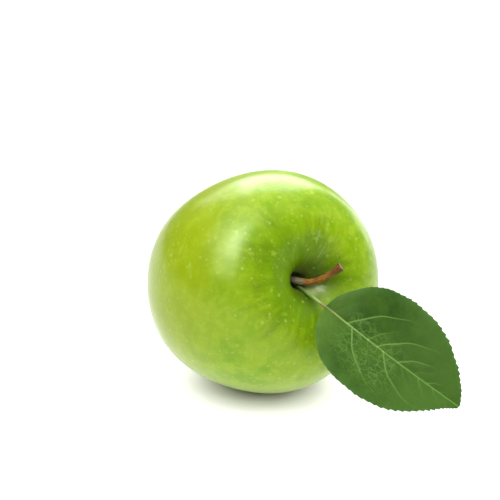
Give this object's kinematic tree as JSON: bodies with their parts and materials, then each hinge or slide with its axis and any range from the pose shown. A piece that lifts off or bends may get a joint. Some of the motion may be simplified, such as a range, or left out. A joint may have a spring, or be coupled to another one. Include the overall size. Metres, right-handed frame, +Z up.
{
  "type": "apple",
  "caption": "Green apple lying on its side on a small flat spot, with its stem, one toothed leaf on its stalk and the dried calyx at the other end.",
  "frame": {"origin": "centre of the small flat spot on the fruit's flank, where it rests", "axes": "+Z up out of the resting surface; the stem end faces -Y, turned 33 degrees towards +X and tipped up 17.5 degrees, with the leaf on the +X side"},
  "size_m": [0.1025, 0.0869, 0.0748],
  "materials": {
    "skin": "waxy green apple skin with pale dots and streaks, satin to glossy",
    "stem_bark": "brown woody bark, matt",
    "leaf": "dark green leaf with pale veins, satin above and paler below",
    "calyx": "dry brown sepals and stamens, matt"
  },
  "bodies": {
    "root": {"fruit": "skin", "stem": "stem_bark", "leaf": "leaf", "sepal_1": "calyx", "sepal_2": "calyx", "sepal_3": "calyx", "sepal_4": "calyx", "sepal_5": "calyx", "dried_stamens": "calyx"}
  },
  "joints": []
}
